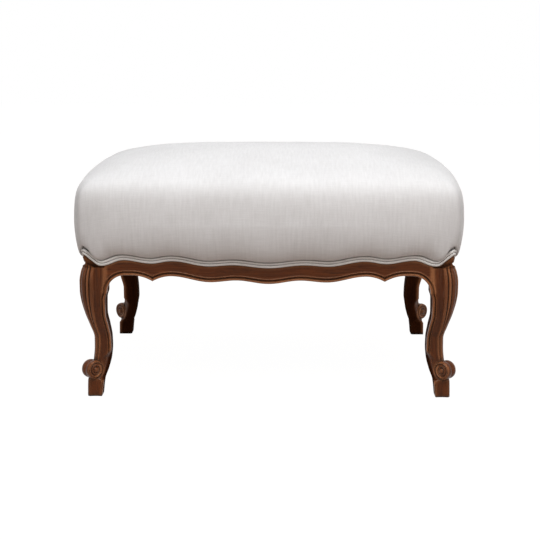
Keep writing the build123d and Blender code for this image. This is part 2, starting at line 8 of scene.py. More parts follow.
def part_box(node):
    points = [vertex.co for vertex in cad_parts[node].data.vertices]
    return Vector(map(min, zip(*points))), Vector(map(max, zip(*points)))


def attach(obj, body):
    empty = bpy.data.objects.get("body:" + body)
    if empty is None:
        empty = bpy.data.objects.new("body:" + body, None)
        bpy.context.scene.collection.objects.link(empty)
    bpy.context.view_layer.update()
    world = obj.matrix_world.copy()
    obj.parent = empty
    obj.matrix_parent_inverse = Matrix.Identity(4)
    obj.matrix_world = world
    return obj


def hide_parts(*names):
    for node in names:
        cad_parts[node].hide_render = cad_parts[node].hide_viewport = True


# A footstool on cabriole legs: carved walnut frame, tight domed seat, double piping.
# Metres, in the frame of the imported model: +Z up, -Y is the front.
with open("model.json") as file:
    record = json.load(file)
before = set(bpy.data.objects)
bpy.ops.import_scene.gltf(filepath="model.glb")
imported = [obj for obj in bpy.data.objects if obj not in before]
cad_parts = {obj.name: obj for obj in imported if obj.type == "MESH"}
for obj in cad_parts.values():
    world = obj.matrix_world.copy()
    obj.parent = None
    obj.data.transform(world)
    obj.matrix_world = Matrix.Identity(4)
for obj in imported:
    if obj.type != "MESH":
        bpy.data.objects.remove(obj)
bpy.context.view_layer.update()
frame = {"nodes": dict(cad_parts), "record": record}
MM = 0.001

# Frame sizes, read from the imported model
rail_low, rail_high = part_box("front_rail")
side_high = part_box("right_rail")[1]
cover_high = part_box("seat_cover")[1]
BEAD_PROUD = 1.0 * MM
HALF_WIDTH = side_high[0] - BEAD_PROUD
HALF_DEPTH = -rail_low[1] - BEAD_PROUD
RAIL_TOP = rail_high[2]
SEAT_TOP = cover_high[2]
LEG_SQUARE = HALF_WIDTH - rail_high[0]

# Seat line, as in the rails: share of the rail's half length, rise above the middle in millimetres
POST_RISE = 34.0 * MM
SEAT_LINE_DROP = 2.0 * MM
SEAT_LINE = RAIL_TOP - POST_RISE - SEAT_LINE_DROP
FRONT_WAVE = [(0.0, 0.0), (0.225, 4.5), (0.365, 2.5), (0.595, 10.5), (0.72, 6.7), (0.893, 12.0)]
SIDE_WAVE = [(0.0, 0.0), (0.33, 4.5), (0.55, 2.5), (0.85, 12.0)]
CORNER_DIP_INSET = 28.0 * MM
CORNER_DIP_RISE = 3.0 * MM
CORNER_DIP_RADIUS = 14.0 * MM
CORNER_RISE_ANGLE = math.radians(40.0)

# Upholstery
TACK_REBATE = 3.5 * MM
COVER_NECK = 1.4 * MM
PIPING_RADIUS = 2.1 * MM
PIPING_STAND_OFF = 3.9 * MM
PIPING_PITCH = 4.2 * MM
PIPING_CORNER = 5.0 * MM
BULGE_HEIGHT = 272.0 * MM
BULGE_CORNER = 21.2 * MM
BULGE_MIDDLE = 8.5 * MM
# Crown of the seat: millimetres in from the fullest level, share of the rise from there to the top
CROWN = [
    (0.0, 0.0), (0.8, 0.16), (2.2, 0.3), (5.0, 0.44), (9.0, 0.535), (14.5, 0.61), (22.0, 0.668),
    (37.0, 0.735), (66.0, 0.822), (105.0, 0.902), (143.0, 0.958), (175.0, 0.988), (196.0, 1.0),
]
WELD_REACH = 0.001 * MM


def shares(count):
    """Evenly spaced shares from 0 to 1, both ends included."""
    return [step / count for step in range(count + 1)]


def blend(first, last, share):
    """A value part of the way between two others."""
    return first + (last - first) * share


def smooth(share):
    """A share eased at both ends."""
    share = min(max(share, 0.0), 1.0)
    return share * share * (3 - 2 * share)


def bell(distance, width):
    """A soft bump of height 1 that fades over a width."""
    return math.exp(-((distance / width) ** 2))


def curve_through(points, x):
    """A monotone smooth curve through points, read at x."""
    slopes = []
    for (first_x, first_y), (last_x, last_y) in zip(points, points[1:]):
        slopes.append((last_y - first_y) / (last_x - first_x))
    tangents = [slopes[0]]
    for before, after in zip(slopes, slopes[1:]):
        tangents.append(0.0 if before * after <= 0 else 2 * before * after / (before + after))
    tangents.append(slopes[-1])
    place = 0
    while place < len(points) - 2 and x > points[place + 1][0]:
        place += 1
    (first_x, first_y), (last_x, last_y) = points[place], points[place + 1]
    width = last_x - first_x
    share = (x - first_x) / width
    rest = 1 - share
    value = first_y * (1 + 2 * share) * rest ** 2 + last_y * share ** 2 * (3 - 2 * share)
    return value + width * share * rest * (tangents[place] * rest - tangents[place + 1] * share)


def wave_height(spots, along):
    """Height of a wave that eases from each spot to the next, at a place between the first and the last."""
    place = 0
    while along > spots[place + 1][0]:
        place += 1
    (first_x, first_z), (last_x, last_z) = spots[place], spots[place + 1]
    turn = math.pi * (along - first_x) / (last_x - first_x)
    return blend(first_z, last_z, 0.5 - 0.5 * math.cos(turn))


def seat_line_height(along, span, stations):
    """Height of the seat line at a distance from the middle of a side."""
    along = abs(along)
    joint = span - LEG_SQUARE
    dip = span - CORNER_DIP_INSET
    spots = [(share * joint, SEAT_LINE + rise * MM) for share, rise in stations]
    dip_height = SEAT_LINE + CORNER_DIP_RISE
    spots.append((dip, dip_height))
    if along <= dip:
        return wave_height(spots, along)
    past = along - dip
    bend = CORNER_DIP_RADIUS * math.sin(CORNER_RISE_ANGLE)
    if past < bend:
        return dip_height + CORNER_DIP_RADIUS - math.sqrt(CORNER_DIP_RADIUS ** 2 - past ** 2)
    bend_rise = CORNER_DIP_RADIUS * (1 - math.cos(CORNER_RISE_ANGLE))
    return dip_height + bend_rise + (past - bend) * math.tan(CORNER_RISE_ANGLE)


def seat_line_at(x, y, half_x, half_y):
    """Height of the seat line at a point of a plan outline with those half sizes."""
    if half_y - abs(y) < half_x - abs(x):
        return seat_line_height(x * HALF_WIDTH / half_x, HALF_WIDTH, FRONT_WAVE)
    return seat_line_height(y * HALF_DEPTH / half_y, HALF_DEPTH, SIDE_WAVE)


def outline(half_x, half_y, radius, bow, side_steps, corner_steps, crease=0.0):
    """Plan points of a rounded rectangle with bowed sides, anticlockwise from the front left corner.

    Each point is x, y and its share of the way round its corner, or None along a side. The crease says how
    far each corner is drawn out to a ridge, from 0 for a round one to 1 for a square one.
    """
    points = []
    corners = [(-1, -1), (1, -1), (1, 1), (-1, 1)]
    for place, (sign_x, sign_y) in enumerate(corners):
        middle_x = sign_x * (half_x - radius)
        middle_y = sign_y * (half_y - radius)
        start = math.radians(180 + 90 * place)
        for step in range(corner_steps):
            turn = start + math.radians(90) * step / corner_steps
            square = 1 / max(abs(math.cos(turn)), abs(math.sin(turn)))
            reach = radius * blend(1.0, square, crease)
            x = middle_x + reach * math.cos(turn)
            y = middle_y + reach * math.sin(turn)
            points.append((x, y, step / corner_steps))
        next_x, next_y = corners[(place + 1) % 4]
        across = place % 2 == 0
        length = half_x - radius if across else half_y - radius
        for step in range(side_steps):
            share = step / side_steps
            along = blend(-length, length, share)
            lift = bow * (1 - (2 * share - 1) ** 2)
            if across:
                x = along * next_x
                y = sign_y * (half_y + lift)
            else:
                x = sign_x * (half_x + lift)
                y = along * next_y
            points.append((x, y, None))
    return points


def mesh_object(name, vertices, faces):
    """A smooth-shaded mesh object."""
    mesh = bpy.data.meshes.new(name)
    mesh.from_pydata(vertices, [], faces)
    mesh.update()
    mesh.polygons.foreach_set("use_smooth", [True] * len(mesh.polygons))
    piece = bpy.data.objects.new(name, mesh)
    bpy.context.scene.collection.objects.link(piece)
    return piece


def add_polish_and_shade(piece, values):
    """Marks how polished each point is: 1 on the show faces, 0 inside. Where it is low, the wood's colour
    also takes painted shade.
    """
    attribute = piece.data.attributes.new("polish_and_shade", "FLOAT", "POINT")
    attribute.data.foreach_set("value", values)


def ring_faces(rows, columns, closed_rows=False):
    """Quads between rings of equal length."""
    faces = []
    for row in range(rows if closed_rows else rows - 1):
        after = (row + 1) % rows
        for column in range(columns):
            beside = (column + 1) % columns
            faces.append((
                row * columns + column,
                row * columns + beside,
                after * columns + beside,
                after * columns + column,
            ))
    return faces


def tube_faces(rows, columns, first=0):
    """Quads between rings of equal length, with both ends closed, counted from a first point on."""
    faces = [tuple(first + place for place in face) for face in ring_faces(rows, columns)]
    last = first + (rows - 1) * columns
    faces.append(tuple(reversed(range(first, first + columns))))
    faces.append(tuple(range(last, last + columns)))
    return faces


def close_shell(piece):
    """Joins the points that meet and turns every face outward."""
    shell = bmesh.new()
    shell.from_mesh(piece.data)
    bmesh.ops.remove_doubles(shell, verts=shell.verts, dist=WELD_REACH)
    bmesh.ops.recalc_face_normals(shell, faces=shell.faces)
    shell.to_mesh(piece.data)
    shell.free()


# Materials: how far shading looks round a place, and the scale of the patterns
OCCLUSION_SAMPLES = 6
CREASE_REACH = 4.0 * MM
HOLLOW_SHADE_REACH = 7.0 * MM
WEAR_AND_HIGHLIGHT_REACH = 5.0 * MM
WARP_SLUBS = (300.0, 30.0, 1.0)
WEFT_SLUBS = (38.0, 620.0, 1.0)
WEFT_COUNT = 0.8
CLOTH_RELIEF = 0.22 * MM
FIGURE_STRETCH = 0.09
PORE_STRETCH = 0.03
GRAIN_RELIEF = 0.18 * MM
WEAVE_RELIEF = 0.4 * MM
FINE_GRAIN = 5
ROUGH_SPREAD = 0.08
SOLID_RELIEF = 0.3 * MM


class Nodes:
    """A short way to write a node tree."""

    def __init__(self, name):
        self.material = bpy.data.materials.new(name)
        self.material.use_nodes = True
        self.tree = self.material.node_tree
        self.shader = self.tree.nodes["Principled BSDF"]

    def add(self, kind, **settings):
        node = self.tree.nodes.new("ShaderNode" + kind)
        for key, value in settings.items():
            setattr(node, key, value)
        return node

    def link(self, source, target):
        self.tree.links.new(source, target)

    def feed(self, socket, value):
        if hasattr(value, "is_linked"):
            self.link(value, socket)
        else:
            socket.default_value = value

    def fill(self, node, **values):
        for name, value in values.items():
            self.feed(node.inputs[name.replace("_", " ").title().replace("Ior", "IOR")], value)
        return node

    def set(self, **values):
        self.fill(self.shader, **values)

    def place(self):
        return self.add("TexCoord").outputs["Object"]

    def attribute(self, name, output="Vector"):
        return self.add("Attribute", attribute_name=name).outputs[output]

    def mapping(self, vector, scale):
        return self.fill(self.add("Mapping"), vector=vector, scale=scale).outputs["Vector"]

    def noise(self, vector, scale, detail=3.0, rough=0.5, warp=0.0):
        node = self.add("TexNoise")
        self.fill(node, vector=vector, scale=scale, detail=detail, roughness=rough, distortion=warp)
        return node.outputs["Fac"]

    def wave(self, vector, scale, direction, warp=0.0):
        node = self.add("TexWave", wave_type="BANDS", bands_direction=direction)
        self.fill(node, vector=vector, scale=scale, distortion=warp, detail=1.0)
        return node.outputs["Fac"]

    def math(self, operation, first, second):
        node = self.add("Math", operation=operation)
        self.feed(node.inputs[0], first)
        self.feed(node.inputs[1], second)
        return node.outputs[0]

    def weighted(self, first, first_weight, second, second_weight):
        first_part = self.math("MULTIPLY", first, first_weight)
        return self.math("ADD", first_part, self.math("MULTIPLY", second, second_weight))

    def about(self, value, middle, weight):
        return self.math("MULTIPLY", self.math("SUBTRACT", value, middle), weight)

    def span(self, value, low, high, bottom=0.0, top=1.0):
        node = self.add("MapRange", clamp=True)
        self.fill(node, value=value, from_min=low, from_max=high, to_min=bottom, to_max=top)
        return node.outputs["Result"]

    def mix(self, share, first, second):
        node = self.add("Mix", data_type="RGBA")
        self.feed(node.inputs["Factor"], share)
        self.feed(node.inputs[6], first)
        self.feed(node.inputs[7], second)
        return node.outputs[2]

    def occlusion(self, reach, inside=False):
        node = self.add("AmbientOcclusion", samples=OCCLUSION_SAMPLES, inside=inside)
        return self.fill(node, distance=reach).outputs["AO"]

    def bump(self, height, distance, strength):
        node = self.fill(self.add("Bump"), height=height, distance=distance, strength=strength)
        self.link(node.outputs["Normal"], self.shader.inputs["Normal"])


def rgb(red, green, blue):
    """A colour written in display values from 0 to 255, as the shader takes it."""
    colour = []
    for value in (red, green, blue):
        share = value / 255
        colour.append(share / 12.92 if share <= 0.04045 else ((share + 0.055) / 1.055) ** 2.4)
    return (*colour, 1.0)


def stretched(axis, share):
    """The scale of a pattern that is drawn out along one axis."""
    return tuple(share if name == axis else 1.0 for name in "XYZ")


WALNUT_DARK = rgb(46, 21, 9)
WALNUT_LIGHT = rgb(108, 54, 22)
WALNUT_RED = rgb(84, 37, 14)
# Colour of the pores, also the colour of the painted shade in hollows and on inner faces
WALNUT_PORE_AND_SHADE = rgb(20, 10, 6)
# Paler colour of edges worn by rubbing, also used as a painted highlight on crests
WALNUT_WORN_AND_HIGHLIGHT = rgb(184, 122, 80)
WALNUT_GLOSS = (1.0, 0.8, 0.64, 1.0)
# Share of painted shade on the unpolished inner faces
INSIDE_PAINTED_SHADE = 0.62
CLOTH_LIGHT = rgb(226, 225, 225)
CLOTH_DARK = rgb(190, 188, 187)
# Colour of the painted shade in the cloth's creases
CLOTH_PAINTED_SHADE = rgb(120, 110, 102)
# The piping is the cover's cloth painted brighter: painted light for the light the proud cords catch from
# above
PIPING_LIGHT_PAINTED_BRIGHT = rgb(240, 238, 235)
PIPING_DARK_PAINTED_BRIGHT = rgb(206, 203, 199)
# Slot, light and dark colour, scale of the grain, its stretch, roughness, metal
GRAINED_SLOTS = [
    ("beech", rgb(205, 172, 128), rgb(170, 132, 90), 60.0, stretched("X", 0.1), 0.62, 0.0),
    ("foam", rgb(238, 230, 196), rgb(216, 204, 164), 300.0, stretched("X", 1.0), 0.85, 0.0),
    ("wadding", rgb(246, 244, 240), rgb(222, 219, 214), 120.0, stretched("Z", 0.4), 0.9, 0.0),
    ("steel", rgb(150, 150, 154), rgb(92, 92, 96), 400.0, stretched("Z", 0.2), 0.4, 1.0),
]
# Slot, light and dark colour, scale of the threads, roughness
WOVEN_SLOTS = [
    ("webbing", rgb(186, 156, 108), rgb(120, 92, 56), 300.0, 0.9),
    ("hessian", rgb(190, 162, 116), rgb(118, 92, 58), 380.0, 0.92),
    ("cambric", rgb(42, 41, 43), rgb(14, 14, 15), 700.0, 0.85),
]


def make_cloth(name, light, dark, thread, slub_share):
    """Slub silk and linen: fine plain weave, long uneven warp slubs, a few weft ones, a satin sheen,
    painted shade in the creases.
    """
    nodes = Nodes(name)
    weave = nodes.attribute("weave")
    warp = nodes.noise(nodes.mapping(weave, WARP_SLUBS), scale=1.0, detail=4.0, rough=0.62)
    weft = nodes.noise(nodes.mapping(weave, WEFT_SLUBS), scale=1.0, detail=4.0, rough=0.62)
    broad = nodes.noise(weave, scale=9.0, detail=2.0)
    warp_thread = nodes.wave(weave, thread, "X", warp=0.6)
    weft_thread = nodes.wave(weave, thread * WEFT_COUNT, "Y", warp=0.6)
    crossing = nodes.math("MULTIPLY", warp_thread, weft_thread)
    warp_slub = nodes.span(warp, low=0.3, high=0.75)
    weft_slub = nodes.span(weft, low=0.4, high=0.8)
    slub = nodes.weighted(warp_slub, 1.0, weft_slub, 0.7)
    tone = nodes.math("ADD", nodes.about(slub, middle=0.8, weight=slub_share), 0.5)
    tone = nodes.math("ADD", tone, nodes.about(broad, middle=0.5, weight=0.4))
    tone = nodes.math("ADD", tone, nodes.about(crossing, middle=0.25, weight=0.12))
    colour = nodes.mix(nodes.span(tone, low=0.0, high=1.0), dark, light)
    # Painted shade: creases, and where the cloth meets the piping, are darkened towards a grey brown, where
    # shade falls
    shade = nodes.span(nodes.occlusion(CREASE_REACH), low=0.3, high=0.85, bottom=0.75, top=0.0)
    nodes.set(base_color=nodes.mix(shade, colour, CLOTH_PAINTED_SHADE))
    nodes.set(roughness=nodes.span(slub, low=0.2, high=1.6, bottom=0.62, top=0.48))
    nodes.set(sheen_weight=0.2, sheen_roughness=0.45, specular_ior_level=0.15)
    nodes.bump(nodes.weighted(crossing, 0.5, slub, 0.6), distance=CLOTH_RELIEF, strength=0.55)
    return nodes.material


def make_walnut(name, grain):
    """Dark waxed walnut: streaked grain and pores, painted shade in the hollows, crests painted paler for
    wear from rubbing and as painted highlight, inner faces painted dark.
    """
    nodes = Nodes(name)
    place = nodes.place()
    along = nodes.mapping(place, stretched(grain, FIGURE_STRETCH))
    thin = nodes.mapping(place, stretched(grain, PORE_STRETCH))
    figure = nodes.noise(along, scale=95.0, detail=5.0, rough=0.62, warp=1.2)
    streak = nodes.noise(along, scale=420.0, detail=4.0, rough=0.6, warp=0.3)
    pores = nodes.noise(thin, scale=1500.0, detail=2.0, rough=0.7)
    patch = nodes.noise(place, scale=14.0, detail=3.0)
    tone = nodes.weighted(figure, 0.7, streak, 0.4)
    colour = nodes.mix(nodes.span(tone, low=0.33, high=0.78), WALNUT_DARK, WALNUT_LIGHT)
    colour = nodes.mix(nodes.span(patch, low=0.35, high=0.75, top=0.35), colour, WALNUT_RED)
    colour = nodes.mix(nodes.span(pores, low=0.6, high=0.72, top=0.6), colour, WALNUT_PORE_AND_SHADE)
    # Crests, beads and ridges are painted paler: partly wear from rubbing, partly painted highlight along
    # the carving
    wear_and_highlight = nodes.span(nodes.occlusion(WEAR_AND_HIGHLIGHT_REACH, inside=True), low=0.9, high=0.5, top=0.62)
    rubbed_and_highlit = nodes.math("MULTIPLY", wear_and_highlight, nodes.span(patch, low=0.2, high=0.6, bottom=0.5))
    colour = nodes.mix(rubbed_and_highlit, colour, WALNUT_WORN_AND_HIGHLIGHT)
    # Painted shade: hollows and recesses are darkened towards near black, where shade falls
    hollow_shade = nodes.span(nodes.occlusion(HOLLOW_SHADE_REACH), low=0.5, high=0.97, bottom=0.94, top=0.0)
    colour = nodes.mix(hollow_shade, colour, WALNUT_PORE_AND_SHADE)
    polish_and_shade = nodes.attribute("polish_and_shade", "Fac")
    # Painted shade: where the wood is unpolished, on inner faces and in the hollow under the piping, the
    # colour is darkened towards near black, where shade falls
    nodes.set(base_color=nodes.mix(polish_and_shade, nodes.mix(INSIDE_PAINTED_SHADE, colour, WALNUT_PORE_AND_SHADE), colour))
    gloss = nodes.span(streak, low=0.3, high=0.75, bottom=0.22, top=0.36)
    dull = nodes.span(polish_and_shade, low=0.0, high=1.0, bottom=0.5, top=0.0)
    nodes.set(roughness=nodes.math("ADD", gloss, dull))
    nodes.set(specular_ior_level=nodes.span(polish_and_shade, low=0.0, high=1.0, bottom=0.02, top=0.2))
    nodes.set(specular_tint=WALNUT_GLOSS)
    open_pores = nodes.span(pores, low=0.58, high=0.72)
    depth = nodes.math("SUBTRACT", nodes.math("MULTIPLY", streak, 0.5), open_pores)
    nodes.bump(depth, distance=GRAIN_RELIEF, strength=0.5)
    return nodes.material


def make_plain_weave(name, light, dark, thread, rough):
    """A coarse plain weave for hidden cloth and webbing."""
    nodes = Nodes(name)
    place = nodes.place()
    warp_thread = nodes.wave(place, thread, "X", warp=1.0)
    weft_thread = nodes.wave(place, thread, "Y", warp=1.0)
    fibre = nodes.noise(place, scale=260.0, detail=4.0, rough=0.7)
    tone = nodes.weighted(nodes.math("ADD", warp_thread, weft_thread), 0.35, fibre, 0.5)
    nodes.set(base_color=nodes.mix(nodes.span(tone, low=0.2, high=0.95), dark, light), roughness=rough)
    nodes.bump(tone, distance=WEAVE_RELIEF, strength=0.6)
    return nodes.material


def make_grained(name, light, dark, scale, stretch, rough, metallic):
    """A streaked solid: sawn wood, cut foam, fibre or drawn steel."""
    nodes = Nodes(name)
    streak = nodes.noise(nodes.mapping(nodes.place(), stretch), scale, detail=5.0, rough=0.6, warp=0.4)
    fine = nodes.noise(nodes.place(), scale * FINE_GRAIN, detail=2.0)
    tone = nodes.weighted(streak, 0.75, fine, 0.25)
    nodes.set(base_color=nodes.mix(nodes.span(tone, low=0.3, high=0.7), dark, light), metallic=metallic)
    smoothest = rough - ROUGH_SPREAD
    roughest = rough + ROUGH_SPREAD
    nodes.set(roughness=nodes.span(fine, low=0.3, high=0.7, bottom=smoothest, top=roughest))
    nodes.bump(tone, distance=SOLID_RELIEF, strength=0.4)
    return nodes.material


cover_cloth = make_cloth("slub_cloth", CLOTH_LIGHT, CLOTH_DARK, thread=330.0, slub_share=0.28)
# The piping cloth takes the brighter colours of painted light
piping_cloth = make_cloth("slub_piping", PIPING_LIGHT_PAINTED_BRIGHT, PIPING_DARK_PAINTED_BRIGHT, thread=420.0, slub_share=0.25)
walnut_upright = make_walnut("walnut_upright", "Z")
walnut_long = make_walnut("walnut_long", "X")
walnut_cross = make_walnut("walnut_cross", "Y")
slot_materials = {}
for slot, *finish in GRAINED_SLOTS:
    slot_materials[slot] = make_grained(slot + "_finish", *finish)
for slot, *finish in WOVEN_SLOTS:
    slot_materials[slot] = make_plain_weave(slot + "_finish", *finish)

# Carried-over pieces: each takes its slot's finish, and wood takes the grain of its length
slot_of = {part["node"]: part["material_slot"] for part in frame["record"]["subparts"]}
for node, piece in frame["nodes"].items():
    material = slot_materials.get(slot_of[node])
    if node in ("front_rail", "back_rail"):
        material = walnut_long
    elif node in ("left_rail", "right_rail"):
        material = walnut_cross
    elif node.startswith("leg_"):
        material = walnut_upright
    if material:
        piece.data.materials.clear()
        piece.data.materials.append(material)


def finish_piece(piece, material, slot_name, *nodes):
    """Gives a new piece its material and stands it in for CAD nodes of the stool's one body; the slot name
    is not used.
    """
    piece.data.materials.append(material)
    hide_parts(*nodes)
    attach(piece, "root")


# Seat cover
SIDE_STEPS = 104
CORNER_STEPS = 36
LOWER_ROWS = 22
UPPER_ROWS = 54
NECK_X = HALF_WIDTH - TACK_REBATE + COVER_NECK
NECK_Y = HALF_DEPTH - TACK_REBATE + COVER_NECK
NECK_ROUND = 6.0 * MM
FULL_X = NECK_X + BULGE_CORNER
FULL_Y = NECK_Y + BULGE_CORNER
HEM_DEPTH = 3.0 * MM
BULGE_FULLNESS = 0.9
CORNER_ROUND = 72.0 * MM
CROWN_ROUND = 50.0 * MM
ROUND_LIMIT = 0.92
CROWN_BOW = 0.6
CROWN_CROWDING = 1.9
CROWN_CLEARANCE = 0.5 * MM
# The cover clears the upper cord, by more where the seat line is steep
SLOPE_STRETCH = 1.004
LEAST_TRAVEL = 0.1 * MM
STEEPEST_LEAN = 1.32
STEEP_CLEARANCE = 2.6
# Seam at each corner, on a slight ridge, and the soft creases that run to its foot
SEAM_RIDGE = 0.36
CORNER_LENGTH = 118.0 * MM
SEAM_DEPTH = 0.9 * MM
SEAM_WIDTH = 1.7 * MM
SEAM_TOP = 354.0 * MM
SEAM_FADE = 34.0 * MM
CREASE_DEPTH = 0.3 * MM
CREASE_PITCH_ACROSS = 5.0 * MM
CREASE_PITCH_UP = 7.0 * MM
CREASE_WIDTH = 14.0 * MM
CREASE_HEIGHT = 16.0 * MM
CREASE_SPREAD = 22.0 * MM
# Uneven filling
LUMP_HEIGHT = 0.55 * MM
LUMP_SCALE = 22.0


def cover_row(inset, height_share):
    """Half sizes, corner radius and bow of the cover a way in from its fullest level."""
    half_x = FULL_X - inset
    half_y = FULL_Y - inset
    radius = min(blend(CORNER_ROUND, CROWN_ROUND, height_share), half_y * ROUND_LIMIT)
    return half_x, half_y, radius, blend(BULGE_MIDDLE, BULGE_MIDDLE * CROWN_BOW, height_share)


def seam_offset(share, level, height_above_piping):
    """How far the cloth is drawn in at a corner's seam, and the soft creases that run to it."""
    distance = abs(share - 0.5) * CORNER_LENGTH
    fade = smooth((SEAM_TOP - level) / SEAM_FADE)
    seam = SEAM_DEPTH * bell(distance, SEAM_WIDTH)
    fan = math.sin(distance / CREASE_PITCH_ACROSS + height_above_piping / CREASE_PITCH_UP)
    near_foot = bell(distance, CREASE_WIDTH) * bell(height_above_piping - CREASE_HEIGHT, CREASE_SPREAD)
    return CREASE_DEPTH * fan * near_foot - fade * seam


def lower_row(neck, full, turn):
    """One row of the cover between its hem and its fullest level, clear of the upper cord."""
    out = math.sin(turn * math.pi / 2) ** BULGE_FULLNESS
    rise = 1 - math.cos(turn * math.pi / 2) ** BULGE_FULLNESS
    half_x = blend(NECK_X, FULL_X, out)
    half_y = blend(NECK_Y, FULL_Y, out)
    ring = []
    for (neck_x, neck_y, _), (full_x, full_y, _) in zip(neck, full):
        x = blend(neck_x, full_x, out)
        y = blend(neck_y, full_y, out)
        line = seat_line_at(x, y, half_x, half_y)
        farther = seat_line_at(x * SLOPE_STRETCH, y * SLOPE_STRETCH, half_x, half_y)
        on_side = abs(x) / HALF_WIDTH > abs(y) / HALF_DEPTH
        travel = (abs(y) if on_side else abs(x)) * (SLOPE_STRETCH - 1)
        lean = math.hypot(1.0, (farther - line) / max(travel, LEAST_TRAVEL))
        base = line + 2 * PIPING_PITCH * min(lean, STEEPEST_LEAN) ** STEEP_CLEARANCE
        ring.append((x, y, blend(base, BULGE_HEIGHT, rise)))
    return ring


def crown_row(share):
    """One row of the cover between its fullest level and its top."""
    inset = share ** CROWN_CROWDING * CROWN[-1][0]
    height_share = curve_through(CROWN, inset)
    level = blend(BULGE_HEIGHT, SEAT_TOP - CROWN_CLEARANCE, height_share)
    ridge = SEAM_RIDGE * smooth((SEAM_TOP - level) / SEAM_FADE)
    points = outline(*cover_row(inset * MM, height_share), SIDE_STEPS, CORNER_STEPS, ridge)
    return [(x, y, level) for x, y, _ in points]


def set_weave(piece, values):
    """Stores each point's place in its cloth: x along the weft, y along the warp."""
    attribute = piece.data.attributes.new("weave", "FLOAT_VECTOR", "POINT")
    attribute.data.foreach_set("vector", [number for value in values for number in value])


def unrolled(rows):
    """Places of the cover's points in the flat cloth, unrolled from the crown down the sides."""
    columns = len(rows[0])
    drop = [0.0] * columns
    unrolled_rows = []
    above = rows[-1]
    for ring in reversed(rows):
        unrolled_ring = []
        for column, (x, y, z) in enumerate(ring):
            drop[column] += abs(above[column][2] - z)
            on_side = abs(y) / HALF_DEPTH < abs(x) / HALF_WIDTH
            across = x + math.copysign(drop[column], x) if on_side else x
            down = y if on_side else y + math.copysign(drop[column], y)
            unrolled_ring.append((across, down, 0.0))
        unrolled_rows.append(unrolled_ring)
        above = ring
    return [value for ring in reversed(unrolled_rows) for value in ring]


def make_cover():
    """The tight domed cover: drawn in under the piping, full at mid height, crowned, with corner seams."""
    neck = outline(NECK_X, NECK_Y, NECK_ROUND, 0.0, SIDE_STEPS, CORNER_STEPS)
    full = outline(*cover_row(0.0, 0.0), SIDE_STEPS, CORNER_STEPS, SEAM_RIDGE)
    columns = len(full)
    hem = []
    for x, y, _ in neck:
        hem.append((x, y, seat_line_at(x, y, NECK_X, NECK_Y) + PIPING_RADIUS - HEM_DEPTH))
    rows = [hem]
    rows += [lower_row(neck, full, turn) for turn in shares(LOWER_ROWS)[1:]]
    rows += [crown_row(share) for share in shares(UPPER_ROWS)[1:]]
    vertices = [Vector(point) for ring in rows for point in ring]
    faces = ring_faces(len(rows), columns)
    faces.append(tuple(range(len(vertices) - columns, len(vertices))))
    piece = mesh_object("cover", vertices, faces)
    normals = [vertex.normal.copy() for vertex in piece.data.vertices]
    for place in range(columns, len(vertices)):
        point = vertices[place]
        shift = LUMP_HEIGHT * noise.noise(point * LUMP_SCALE)
        column = place % columns
        corner_share = full[column][2]
        if corner_share is not None:
            shift += seam_offset(corner_share, point.z, point.z - hem[column][2])
        piece.data.vertices[place].co = point + normals[place] * shift
    set_weave(piece, unrolled(rows))
    return piece


cover = make_cover()
finish_piece(cover, cover_cloth, "cover_cloth", "seat_cover")


# Wadding, a layer under the cover
WADDING_INSET = 3.0 * MM


def make_wadding():
    """The wadding as a closed form just inside the cover."""
    points = []
    for vertex in cover.data.vertices:
        points.append(vertex.co - vertex.normal * WADDING_INSET)
    faces = [tuple(polygon.vertices) for polygon in cover.data.polygons]
    columns = len(faces[-1])
    faces.append(tuple(reversed(range(columns))))
    return mesh_object("wadding_layer", points, faces)


wadding = make_wadding()
finish_piece(wadding, slot_materials["wadding"], "wadding", "wadding")

# Double piping
PIPING_SIDES = 12
PIPING_SIDE_STEPS = 150
PIPING_CORNER_STEPS = 10
SWELL_SHARE = 0.05
SWELL_SCALE = 60.0


def make_cord(name, rise):
    """One covered cord along the seat line, round the whole stool."""
    half_x = HALF_WIDTH - TACK_REBATE + PIPING_STAND_OFF
    half_y = HALF_DEPTH - TACK_REBATE + PIPING_STAND_OFF
    plan = outline(half_x, half_y, PIPING_CORNER, 0.0, PIPING_SIDE_STEPS, PIPING_CORNER_STEPS)
    path = [Vector((x, y, seat_line_at(x, y, half_x, half_y))) for x, y, _ in plan]
    count = len(path)
    vertices = []
    weave = []
    travelled = 0.0
    for place, point in enumerate(path):
        ahead = (path[(place + 1) % count] - path[place - 1]).normalized()
        outward = ahead.cross(Vector((0, 0, 1))).normalized()
        upward = outward.cross(ahead).normalized()
        middle = point + upward * rise
        travelled += (path[place] - path[place - 1]).length if place else 0.0
        swell = 1.0 + SWELL_SHARE * noise.noise(point * SWELL_SCALE)
        for step in range(PIPING_SIDES):
            turn = 2 * math.pi * step / PIPING_SIDES
            spoke = outward * math.cos(turn) + upward * math.sin(turn)
            vertices.append(middle + spoke * (PIPING_RADIUS * swell))
            around = PIPING_RADIUS * turn
            weave.append((travelled + around, travelled - around, 0.0))
    piece = mesh_object(name, vertices, ring_faces(count, PIPING_SIDES, True))
    set_weave(piece, weave)
    return piece


for level, rise in (("lower", PIPING_RADIUS), ("upper", PIPING_RADIUS + PIPING_PITCH)):
    cord = make_cord("piping_" + level, rise)
    finish_piece(cord, piping_cloth, "piping_cloth", "piping_" + level + "_cord")


